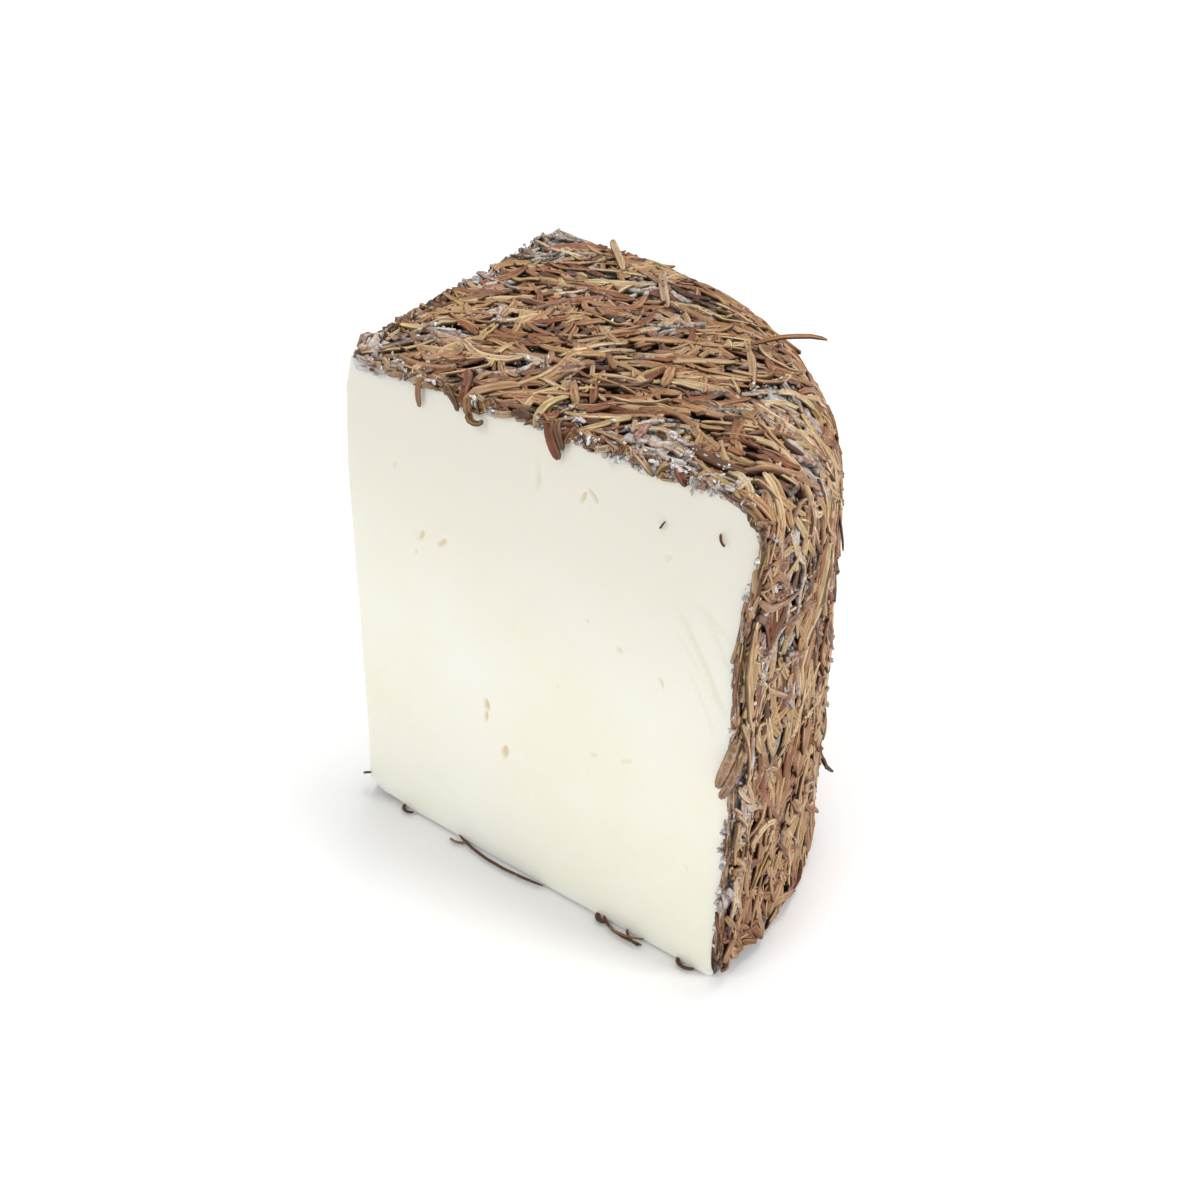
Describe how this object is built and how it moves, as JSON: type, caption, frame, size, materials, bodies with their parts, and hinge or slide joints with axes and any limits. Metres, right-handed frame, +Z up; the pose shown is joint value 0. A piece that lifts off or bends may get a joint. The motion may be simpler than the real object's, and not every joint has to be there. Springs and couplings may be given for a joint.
{
  "type": "rosemary goat cheese wedge",
  "caption": "Hand-cut quarter of a tall round goat cheese: smooth ivory paste with small eyes, its top and side crusted with dried rosemary leaves.",
  "frame": {"origin": "middle of the outline's bounding box, on the flat base that the wedge rests on", "axes": "+Z up, +X along the first cut from the tip edge to the rim, -Y out of the first cut face"},
  "size_m": [0.1154, 0.0963, 0.101],
  "materials": {
    "paste": "smooth moist satin cut surface",
    "rosemary": "dry matte needle-like leaves, mixed browns and straw",
    "rind": "matte grey-white bloom and crumbs between the leaves"
  },
  "bodies": {
    "root": {"cheese": "paste"}
  },
  "joints": []
}
